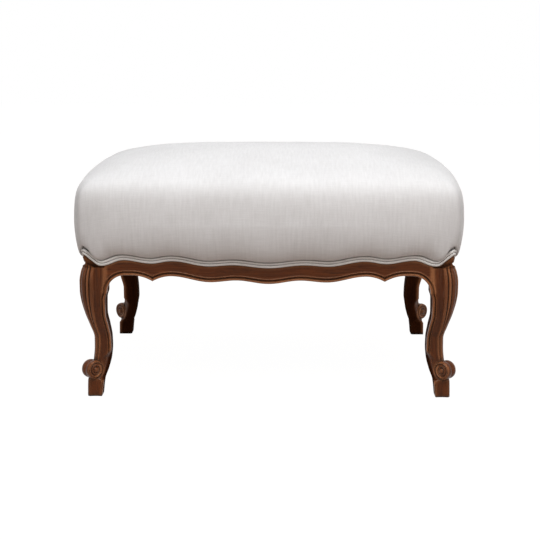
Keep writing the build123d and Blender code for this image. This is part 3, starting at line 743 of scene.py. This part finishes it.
# Legs
# From the shoulder down: share of the shoulder height, then in millimetres the offsets from the show face
# of the outer corner, the inner corner and the panel, the corner radius and the reed depth, then the
# leaf's share of the reed depth, and the bead width in millimetres
LEG_STATIONS = [
    (1.000, 2.3, -34.9, 0.0, 17.0, 3.0, 1.0, 4.4),
    (0.947, 6.4, -34.9, 0.5, 19.5, 3.4, 1.0, 4.4),
    (0.874, 8.7, -34.9, 1.4, 21.0, 3.6, 1.0, 4.4),
    (0.806, 8.7, -34.7, 1.8, 21.0, 3.6, 1.0, 4.4),
    (0.748, 7.4, -31.8, 1.6, 19.5, 3.4, 0.9, 4.2),
    (0.636, 1.7, -31.4, -1.2, 14.5, 2.8, 0.8, 4.0),
    (0.534, -5.5, -34.6, -7.2, 10.0, 2.2, 0.6, 3.8),
    (0.437, -10.9, -37.2, -12.2, 8.8, 1.9, 0.5, 3.6),
    (0.369, -10.8, -37.5, -12.2, 8.6, 1.7, 0.5, 3.4),
    (0.282, -9.4, -36.0, -10.6, 7.5, 1.4, 0.4, 3.0),
    (0.185, -4.6, -31.0, -5.4, 5.5, 0.8, 0.2, 2.4),
    (0.117, -1.0, -26.0, -1.4, 4.6, 0.3, 0.05, 1.6),
    (0.000, -0.3, -23.2, -0.5, 4.4, 0.1, 0.05, 1.2),
]
# Scroll of the foot
SLANT = math.sqrt(0.5)
SCROLL_INSET = 8.2 * MM
SCROLL_HEIGHT = 42.0 * MM
SCROLL_RADIUS = 14.5 * MM
SCROLL_HALF_LENGTH = 10.0 * MM
ROLL_GROOVE = 1.0 * MM
SCROLL_RIM = 1.4 * MM
RIM_ROUND = 0.6
SCROLL_TURNS = 1.8
SCROLL_CARVING = 2.3 * MM
BUTTON_RADIUS = 5.0 * MM
BUTTON_RISE = 4.6 * MM
# The shaft's cheeks, drawn in behind the scroll's ends
CHEEK_STEP = 2.0 * MM
CHEEK_FLAT = 13.0 * MM
CHEEK_FADE_ABOVE = 26.0 * MM
CHEEK_FADE_BELOW = 8.0 * MM
CHEEK_REACH = 14.0 * MM
CHEEK_CUT = 0.85
# Section of the shaft
SHOULDER = RAIL_TOP - POST_RISE
ARCH_RADIUS = 28.0 * MM
ARCH_FOOT = 164.0 * MM
EDGE_REED = math.radians(24.0)
LEAF_REED = math.radians(16.0)
INNER_ROUND = 3.0 * MM
INNER_ROUND_STEPS = 4
INNER_SIDE_STEPS = 4
PANEL_STEPS = 8
REED_STEPS = 10
INNER_POINTS = INNER_ROUND_STEPS + INNER_SIDE_STEPS
PANEL_HOLLOW = 0.7 * MM
PANEL_EASE = 12.0 * MM
JOINT_STEP = 0.3 * MM
# Moulding of a shaped edge, in millimetres, drawn for a bead of the width given: distance in from the
# edge, height over the face
MOULDING_BEAD = 4.4
MOULDING = [
    (0.0, -1.7), (0.12, -0.6), (0.4, 0.35), (0.9, 1.05), (1.5, 1.35), (2.1, 1.15), (2.7, 0.7), (3.3, 0.1),
    (3.9, -0.65), (4.3, -1.25), (4.6, -1.5), (5.0, -1.4), (5.5, -0.85), (6.1, -0.05), (6.6, 0.45),
    (6.9, 0.5), (7.4, 0.15), (8.0, -0.35), (8.4, -0.5), (14.0, -0.5),
]
MOULDING_SPOTS = [distance for distance, height in MOULDING[:-1]]
LEG_RING_STEP = 1.8 * MM
LEG_CURVES = []
for column in range(1, len(LEG_STATIONS[0])):
    LEG_CURVES.append([(row[0], row[column]) for row in reversed(LEG_STATIONS)])


def edge_relief(distance, width):
    """Height of the moulding at a distance in from a shaped edge, for a bead of that width."""
    scale = width / MOULDING_BEAD
    return curve_through(MOULDING, min(distance / scale, MOULDING[-1][0])) * scale


def inner_points(inner, bead_foot):
    """Points round a leg's inner corner and along its inner side to the foot of the bead."""
    points = []
    for share in shares(INNER_ROUND_STEPS):
        turn = math.radians(225 - 45 * share)
        points.append((
            inner + INNER_ROUND * (1 + math.cos(turn)),
            inner + INNER_ROUND * (1 + math.sin(turn)),
        ))
    for share in shares(INNER_SIDE_STEPS)[1:-1]:
        points.append((inner, blend(inner + INNER_ROUND, bead_foot, share)))
    return points


def panel_points(level, inner, panel, rim, bead):
    """Points over a leg's bead and front panel, up to the rim of the first reed."""
    rim_x, rim_y = rim
    spots = [distance * bead / MOULDING_BEAD for distance in MOULDING_SPOTS]
    clear = rim_x - inner - spots[-1]
    spots += [spots[-1] + clear * share for share in shares(PANEL_STEPS)[1:-1]]
    joined = smooth((level - ARCH_FOOT + PANEL_EASE) / PANEL_EASE)
    points = []
    for spot in spots:
        distance = spot
        if level > ARCH_FOOT:
            distance = math.hypot(spot + ARCH_RADIUS, level - ARCH_FOOT) - ARCH_RADIUS
        share = max((spot - bead) / (rim_x - inner - bead), 0.0)
        near_joint = joined * (1 - smooth(spot / PANEL_EASE))
        base = panel * (1 - near_joint) - JOINT_STEP * near_joint
        face = blend(base, rim_y, share ** 3) - 4 * PANEL_HOLLOW * share * (1 - share)
        points.append((inner + spot, face + edge_relief(distance, bead)))
    return points


def reed_points(middle, low, depth, leaf):
    """Points over the reeds of a leg's outer corner, to the middle of the last one."""
    crown = math.radians(90) - EDGE_REED - 2 * LEAF_REED
    start = -EDGE_REED / 2
    points = []
    # Each reed's width, its share of the full height, and how much of it is on this half
    for width, height, end in ((EDGE_REED, 1.0, 1.0), (LEAF_REED, leaf, 1.0), (crown, 1.0, 0.5)):
        for share in shares(REED_STEPS)[1:]:
            phase = share * end
            reach = low + depth * height * math.sqrt(max(1 - (2 * phase - 1) ** 2, 0.0))
            turn = start + width * phase
            points.append((middle + reach * math.sin(turn), middle + reach * math.cos(turn)))
        start += width
    return points


def leg_half_section(level):
    """Half of a leg's level outline, from its inner corner over the front panel to its outer corner."""
    values = [curve_through(points, level / SHOULDER) for points in LEG_CURVES]
    outer, inner, panel, radius, depth = [value * MM for value in values[:5]]
    leaf = values[5]
    bead = values[6] * MM
    if level > ARCH_FOOT:
        inner = -LEG_SQUARE
    middle = outer - radius
    low = radius - depth
    rim = (middle - low * math.sin(EDGE_REED / 2), middle + low * math.cos(EDGE_REED / 2))
    points = inner_points(inner, panel + edge_relief(0.0, bead))
    points += panel_points(level, inner, panel, rim, bead)
    return points + reed_points(middle, low, depth, leaf)


def leg_section(level):
    """A whole level outline of a leg: the half section and its mirror image over the diagonal."""
    half = []
    fade_over = CHEEK_FADE_ABOVE if level > SCROLL_HEIGHT else CHEEK_FADE_BELOW
    fade = smooth((abs(level - SCROLL_HEIGHT) - CHEEK_FLAT) / fade_over)
    limit = SCROLL_HALF_LENGTH - CHEEK_STEP + CHEEK_REACH * fade
    for a, b in leg_half_section(level):
        excess = max((b - a) * SLANT - limit, 0.0) * CHEEK_CUT * SLANT
        half.append((a + excess, b - excess))
    return half + [(b, a) for a, b in reversed(half[1:-1])]


# Foot of a leg: height and inset of its eased edge in millimetres, and the first ring clear of it
TOE_EASING = [(0.0, 1.3), (0.35, 0.55), (1.1, 0.0)]
FIRST_RING = 2
# Shoulder of a leg: a hollow that runs up under the piping
HOLLOW_START = 203.5 * MM
HOLLOW_STEPS = 16
# Partly polished in the hollow, which also leaves it partly painted dark as shade
HOLLOW_POLISH_AND_SHADE = 0.3
# Share of the way up the hollow, and how many millimetres out from the show face the wood may stand
HOLLOW_PROFILE = [(0.0, 8.7), (0.12, 4.6), (0.22, 1.0), (0.32, -2.2), (0.42, -2.6), (0.7, -1.0), (1.0, 1.6)]
HOLLOW_GAP = 0.6 * MM


def leg_rings():
    """Offsets and heights of a leg's rings, from the foot up."""
    rings = []
    foot = leg_section(0.0)
    middle = sum(a for a, b in foot) / len(foot)
    reach = max(abs(a - middle) for a, b in foot)
    for level, inset in TOE_EASING:
        share = 1 - inset * MM / reach
        rings.append([(blend(middle, a, share), blend(middle, b, share), level * MM) for a, b in foot])
    count = round(HOLLOW_START / LEG_RING_STEP)
    for step in range(FIRST_RING, count + 1):
        level = HOLLOW_START * step / count
        rings.append([(a, b, level) for a, b in leg_section(level)])
    last = rings[-1]
    for step in range(1, HOLLOW_STEPS + 1):
        share = step / HOLLOW_STEPS
        limit = curve_through(HOLLOW_PROFILE, share) * MM
        ring = []
        for a, b, level in last:
            top = seat_line_at(HALF_WIDTH + a, HALF_DEPTH + b, HALF_WIDTH, HALF_DEPTH) - HOLLOW_GAP
            ring.append((min(a, limit), min(b, limit), blend(level, max(top, level), share)))
        rings.append(ring)
    return rings


# Mesh of the scroll: a reeded roll with a volute carved on each end
SCROLL_COLUMNS = 72
FACE_ROWS = 30
ROLL_ROWS = 32
ROLL_REEDS = 2


def volute(radius, turn):
    """Height of the carving on a scroll's end: a winding ridge round a domed button."""
    if radius < BUTTON_RADIUS:
        return BUTTON_RISE * math.sqrt(1 - (radius / BUTTON_RADIUS) ** 2) - SCROLL_CARVING
    pitch = (SCROLL_RADIUS - BUTTON_RADIUS) / SCROLL_TURNS
    phase = ((SCROLL_RADIUS - radius) / pitch + turn / (2 * math.pi)) % 1.0
    return SCROLL_CARVING * (math.sqrt(max(1 - (2 * phase - 1) ** 2, 0.0)) - 1)


def scroll_rings():
    """Rings of the scroll from one end's middle to the other's: radius, place along the axis, turn."""
    turns = [2 * math.pi * column / SCROLL_COLUMNS for column in range(SCROLL_COLUMNS)]
    ends = {-1: [], 1: []}
    for side, end in ends.items():
        for share in shares(FACE_ROWS)[1:]:
            radius = share * (SCROLL_RADIUS - SCROLL_RIM)
            ring = []
            for turn in turns:
                ring.append((radius, side * (SCROLL_HALF_LENGTH + volute(radius, turn)), turn))
            end.append(ring)
    roll = []
    for share in shares(ROLL_ROWS):
        along = blend(-SCROLL_HALF_LENGTH, SCROLL_HALF_LENGTH, share)
        edge = SCROLL_HALF_LENGTH - abs(along)
        radius = SCROLL_RADIUS - ROLL_GROOVE * (1 - abs(math.sin(ROLL_REEDS * math.pi * share)))
        radius -= SCROLL_RIM * max(1 - edge / SCROLL_RIM, 0.0) ** 2 * RIM_ROUND
        roll.append([(radius, along, turn) for turn in turns])
    return ends[-1] + roll + list(reversed(ends[1]))


def leg_polish_and_shade(count, shaft_count, columns):
    """How polished a leg's points are, which also sets their painted shade: none on the inner sides, which
    are painted dark, a little in the hollow under the piping, which is painted partly dark.
    """
    polish_and_shade = [1.0] * count
    for place in range(shaft_count):
        column = place % columns
        if column < INNER_POINTS or column > columns - INNER_POINTS:
            polish_and_shade[place] = 0.0
        elif place >= shaft_count - HOLLOW_STEPS * columns:
            polish_and_shade[place] = HOLLOW_POLISH_AND_SHADE
    return polish_and_shade


def make_leg(name, sign_x, sign_y):
    """One carved leg: the cabriole shaft with its beads and reeds, and its scroll foot."""
    rings = leg_rings()
    columns = len(rings[0])
    vertices = [(a, b, level) for ring in rings for a, b, level in ring]
    faces = tube_faces(len(rings), columns)
    first = len(vertices)
    scroll = scroll_rings()
    for ring in scroll:
        for radius, along, turn in ring:
            out = radius * math.cos(turn)
            vertices.append((
                -SCROLL_INSET + SLANT * (out + along),
                -SCROLL_INSET + SLANT * (out - along),
                SCROLL_HEIGHT + radius * math.sin(turn),
            ))
    faces += tube_faces(len(scroll), SCROLL_COLUMNS, first)
    placed = [(sign_x * (HALF_WIDTH + a), sign_y * (HALF_DEPTH + b), z) for a, b, z in vertices]
    piece = mesh_object(name, placed, faces)
    add_polish_and_shade(piece, leg_polish_and_shade(len(vertices), first, columns))
    close_shell(piece)
    return piece


for front, sign_y in (("front", -1), ("back", 1)):
    for side, sign_x in (("left", -1), ("right", 1)):
        leg = make_leg("carved_leg_" + front + "_" + side, sign_x, sign_y)
        finish_piece(leg, walnut_upright, "walnut", "leg_" + front + "_" + side)


# Rails
# Lower edge: share of the rail's half length and rise above its middle in millimetres, then the cusp in
# the same way, and the share at the last crest
FRONT_APRON = ([(0.0, 0.0), (0.199, 5.3), (0.357, 2.5), (0.602, 11.7)], (0.716, 3.8), 0.845)
SIDE_APRON = ([(0.0, 0.0), (0.32, 6.0)], (0.54, 1.5), 0.76)
APRON_LINE = 179.0 * MM
ARCH_TOP = ARCH_FOOT + ARCH_RADIUS
RAIL_BEAD = MOULDING_BEAD * MM
RAIL_STEP = 1.3 * MM
SLOPE_STEP = 0.4 * MM
ARCH_STEPS = 36
FACE_STEPS = 10
RAIL_THICKNESS = 24.0 * MM
JOINT_LAP = 7.0 * MM
LAP_SINK = 1.2 * MM
LEDGE_DEPTH = 10.0 * MM
LEDGE_HEIGHT = 194.0 * MM
SHARP_ANGLE = math.radians(55.0)
# Guards for the rulings that fan round the arch, which run along or up the rail at its ends
LEAST_TURN = 0.1
REACH_TRIES = 4
JOINT_TOLERANCE = 0.01 * MM
# Name, whether it runs along the width, side of the middle
RAILS = [("front", True, -1), ("back", True, 1), ("left", False, -1), ("right", False, 1)]


def apron_height(along, joint, apron):
    """Height of a rail's lower edge at a distance from its middle."""
    stations, (cusp_share, cusp_rise), crest_share = apron
    along = abs(along)
    spots = [(share * joint, APRON_LINE + rise * MM) for share, rise in stations]
    if along <= spots[-1][0]:
        return wave_height(spots, along)
    cusp_x = cusp_share * joint
    if along >= crest_share * joint:
        return ARCH_TOP
    crest_x, crest_z = spots[-1] if along < cusp_x else (crest_share * joint, ARCH_TOP)
    share = (along - crest_x) / (cusp_x - crest_x)
    return blend(crest_z, APRON_LINE + cusp_rise * MM, share ** 2)


def rail_rulings(span, wave, apron):
    """Lines over half a rail's face: start on the lower edge, end, and the edge's lean there."""
    joint = span - LEG_SQUARE
    arch_start = joint - ARCH_RADIUS
    spots = {arch_start * share for share in shares(round(arch_start / RAIL_STEP))}
    rulings = []
    for along in sorted(spots | {apron[1][0] * joint}):
        low = apron_height(along, joint, apron)
        ahead = apron_height(along + SLOPE_STEP, joint, apron)
        behind = apron_height(along - SLOPE_STEP, joint, apron)
        lean = math.cos(math.atan2(ahead - behind, 2 * SLOPE_STEP))
        top = seat_line_height(along, span, wave) - HOLLOW_GAP
        rulings.append(((along, low), (along, top), lean))
    for share in shares(ARCH_STEPS)[1:]:
        turn = math.radians(90) * (1 - share)
        farthest = (ARCH_RADIUS + JOINT_LAP * share) / max(math.cos(turn), LEAST_TURN)
        reach = farthest
        for _ in range(REACH_TRIES):
            along = arch_start + reach * math.cos(turn)
            room = seat_line_height(along, span, wave) - HOLLOW_GAP - ARCH_FOOT
            reach = min(farthest, room / max(math.sin(turn), LEAST_TURN))
        start = (arch_start + ARCH_RADIUS * math.cos(turn), ARCH_FOOT + ARCH_RADIUS * math.sin(turn))
        end = (arch_start + reach * math.cos(turn), ARCH_FOOT + reach * math.sin(turn))
        rulings.append((start, end, 1.0))
    return rulings


def rail_ring(start, end, lean, joint):
    """One section of a rail along a ruling: its moulded face, then its top, back, ledge and underside."""
    reach = math.dist(start, end)
    distances = [min(spot * MM, reach) for spot in MOULDING_SPOTS]
    last = distances[-1]
    distances += [blend(last, reach, share) for share in shares(FACE_STEPS)[1:]]
    ring = []
    for distance in distances:
        share = distance / reach if reach else 0.0
        along = blend(start[0], end[0], share)
        height = edge_relief(distance * lean, RAIL_BEAD)
        height -= LAP_SINK * smooth((along - joint) / JOINT_LAP)
        ring.append((along, height, blend(start[1], end[1], share)))
    along = end[0]
    at_joint = along > joint - JOINT_TOLERANCE
    top = end[1] if at_joint else RAIL_TOP
    ledge = min(LEDGE_HEIGHT, top)
    lower_back = LEDGE_DEPTH - RAIL_THICKNESS
    back = lower_back if top <= LEDGE_HEIGHT else -RAIL_THICKNESS
    ring.append((along, -TACK_REBATE, end[1]))
    ring.append((along, -TACK_REBATE, top))
    ring.append((along, back, top))
    ring.append((along, back, ledge))
    ring.append((along, lower_back, ledge))
    ring.append((start[0], lower_back, start[1]))
    return ring


def make_rail(name, lengthwise, sign):
    """A scalloped rail with its moulded lower edge; lengthwise for the front and back ones."""
    span, wave, apron = (HALF_DEPTH, SIDE_WAVE, SIDE_APRON)
    if lengthwise:
        span, wave, apron = (HALF_WIDTH, FRONT_WAVE, FRONT_APRON)
    half = [rail_ring(*ruling, span - LEG_SQUARE) for ruling in rail_rulings(span, wave, apron)]
    rings = []
    for ring in reversed(half[1:]):
        rings.append([(-along, offset, z) for along, offset, z in ring])
    rings += half
    vertices = []
    for along, offset, z in (point for ring in rings for point in ring):
        if lengthwise:
            vertices.append((along, sign * (HALF_DEPTH + offset), z))
        else:
            vertices.append((sign * (HALF_WIDTH + offset), along, z))
    columns = len(rings[0])
    piece = mesh_object(name, vertices, ring_faces(len(rings), columns))
    shown = len(MOULDING_SPOTS) + FACE_STEPS
    # The show face is polished; the other faces are unpolished and painted dark as shade
    add_polish_and_shade(piece, [1.0 if place % columns < shown else 0.0 for place in range(len(vertices))])
    close_shell(piece)
    piece.data.set_sharp_from_angle(angle=SHARP_ANGLE)
    return piece


for side, lengthwise, sign in RAILS:
    rail = make_rail("carved_rail_" + side, lengthwise, sign)
    finish_piece(rail, walnut_long if lengthwise else walnut_cross, "walnut", side + "_rail")

# Sheets under the seat
SHEET_STEPS = 48
DUST_SAG = 2.5 * MM
SHEET_PUCKER = 0.5 * MM
PUCKER_PITCH = 40.0 * MM
PUCKER_REACH = 14.0 * MM
NOTCH_CLEARANCE = 1.5 * MM


def make_sheet(name, node, sag, notched):
    """A stretched cloth in the place of a CAD sheet, notched round the legs if it reaches them."""
    low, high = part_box(node)
    half_x, half_y = high[0], high[1]
    notch_x = HALF_WIDTH - LEG_SQUARE - NOTCH_CLEARANCE
    notch_y = HALF_DEPTH - LEG_SQUARE - NOTCH_CLEARANCE
    lines_x = {blend(-half_x, half_x, share) for share in shares(SHEET_STEPS)}
    lines_y = {blend(-half_y, half_y, share) for share in shares(SHEET_STEPS)}
    if notched:
        lines_x |= {-notch_x, notch_x}
        lines_y |= {-notch_y, notch_y}
    lines_x = sorted(lines_x)
    lines_y = sorted(lines_y)
    places = {}
    faces = []
    for near, far in zip(lines_y, lines_y[1:]):
        for left, right in zip(lines_x, lines_x[1:]):
            if notched and abs(left + right) > 2 * notch_x and abs(near + far) > 2 * notch_y:
                continue
            corners = [(left, near), (right, near), (right, far), (left, far)]
            faces.append([places.setdefault(corner, len(places)) for corner in corners])
    vertices = []
    for x, y in places:
        middle = (1 - (x / half_x) ** 2) * (1 - (y / half_y) ** 2)
        rim = bell(half_x - abs(x), PUCKER_REACH) * math.cos(2 * math.pi * y / PUCKER_PITCH)
        rim += bell(half_y - abs(y), PUCKER_REACH) * math.cos(2 * math.pi * x / PUCKER_PITCH)
        vertices.append((x, y, (low[2] + high[2]) / 2 - sag * middle - SHEET_PUCKER * middle * rim))
    piece = mesh_object(name, vertices, faces)
    finish_piece(piece, slot_materials[slot_of[node]], slot_of[node], node)


make_sheet("dust_sheet", "dust_cover", DUST_SAG, True)
make_sheet("hessian_sheet", "hessian", 0.0, False)


# Stage: pale floor, soft light and the camera
WHITE = (1.0, 1.0, 1.0, 1.0)
FLOOR_REACH = 6.0
FLOOR_COLOUR = (0.38, 0.31, 0.27, 1.0)
FLOOR_WHITE_SHARE = 0.82
FLOOR_GLOW = 1.2
SKY_COLOUR = (0.96, 0.97, 1.0, 1.0)
SKY_STRENGTH = 0.2
# Lamps: name, place, target, size, power in watts, colour
LAMPS = [
    ("key", (0.3, -1.0, 2.15), (0.0, 0.0, 0.25), 1.8, 49.0, (1.0, 1.0, 1.0)),
    ("top", (-0.3, 0.3, 2.3), (-0.05, 0.0, 0.3), 2.0, 15.0, (0.93, 0.96, 1.0)),
    ("left_strip", (-1.3, -1.6, 0.75), (0.0, -0.2, 0.2), 0.35, 4.6, (1.0, 0.98, 0.96)),
    ("right_strip", (1.5, -1.5, 0.8), (0.0, -0.2, 0.2), 0.35, 4.6, (1.0, 0.98, 0.96)),
]
CAMERA_PLACE = (0.0250, -2.0577, 0.5834)
CAMERA_PITCH = math.radians(11.655)
CAMERA_YAW = math.radians(-0.70)
CAMERA_LENS = 83.07
SENSOR_WIDTH = 36.0


def shows_white(tree):
    """1 for a ray that shows the white background: seen straight, in a gloss or through a clear piece."""
    path = tree.nodes.new("ShaderNodeLightPath")
    share = path.outputs["Is Camera Ray"]
    for kind in ("Is Glossy Ray", "Is Transmission Ray"):
        larger = tree.nodes.new("ShaderNodeMath")
        larger.operation = "MAXIMUM"
        tree.links.new(share, larger.inputs[0])
        tree.links.new(path.outputs[kind], larger.inputs[1])
        share = larger.outputs[0]
    return share


def mix_white(tree, share, dim, white, end):
    """Shows a white shader in the place of a dim one by a share, at the end of a node tree."""
    mixer = tree.nodes.new("ShaderNodeMixShader")
    tree.links.new(share, mixer.inputs[0])
    tree.links.new(dim.outputs[0], mixer.inputs[1])
    tree.links.new(white.outputs[0], mixer.inputs[2])
    tree.links.new(mixer.outputs[0], tree.nodes[end].inputs["Surface"])


def make_floor():
    """A wide floor that looks white and keeps a soft shadow."""
    reach = FLOOR_REACH
    corners = [(-reach, -reach, 0), (reach, -reach, 0), (reach, reach, 0), (-reach, reach, 0)]
    floor = mesh_object("floor", corners, [(0, 1, 2, 3)])
    nodes = Nodes("floor_white")
    nodes.set(base_color=FLOOR_COLOUR, roughness=0.8, specular_ior_level=0.1)
    glow = nodes.fill(nodes.add("Emission"), color=WHITE, strength=FLOOR_GLOW)
    share = nodes.math("MULTIPLY", shows_white(nodes.tree), FLOOR_WHITE_SHARE)
    mix_white(nodes.tree, share, nodes.shader, glow, "Material Output")
    floor.data.materials.append(nodes.material)


def make_world():
    """Dim even light from all round, white where it is seen or mirrored."""
    world = bpy.data.worlds.new("studio")
    world.use_nodes = True
    tree = world.node_tree
    sky = tree.nodes["Background"]
    white = tree.nodes.new("ShaderNodeBackground")
    for light, colour, strength in ((sky, SKY_COLOUR, SKY_STRENGTH), (white, WHITE, 1.0)):
        light.inputs["Color"].default_value = colour
        light.inputs["Strength"].default_value = strength
    mix_white(tree, shows_white(tree), sky, white, "World Output")
    bpy.context.scene.world = world


def make_lamp(name, place, target, size, power, colour):
    """A square soft lamp aimed at a point."""
    data = bpy.data.lights.new(name, "AREA")
    data.shape = "SQUARE"
    data.size = size
    data.energy = power
    data.color = colour
    lamp = bpy.data.objects.new(name, data)
    lamp.location = place
    lamp.rotation_euler = (Vector(target) - Vector(place)).to_track_quat("-Z", "Y").to_euler()
    bpy.context.scene.collection.objects.link(lamp)


def make_camera():
    """A view from a little above the seat, almost square to the front."""
    data = bpy.data.cameras.new("camera")
    data.sensor_width = SENSOR_WIDTH
    data.lens = CAMERA_LENS
    camera = bpy.data.objects.new("camera", data)
    level = math.cos(CAMERA_PITCH)
    aim = Vector((math.sin(CAMERA_YAW) * level, math.cos(CAMERA_YAW) * level, -math.sin(CAMERA_PITCH)))
    camera.location = CAMERA_PLACE
    camera.rotation_euler = aim.to_track_quat("-Z", "Y").to_euler()
    bpy.context.scene.collection.objects.link(camera)
    bpy.context.scene.camera = camera


make_floor()
make_world()
for lamp_values in LAMPS:
    make_lamp(*lamp_values)
make_camera()
bpy.context.scene.view_settings.view_transform = "Standard"
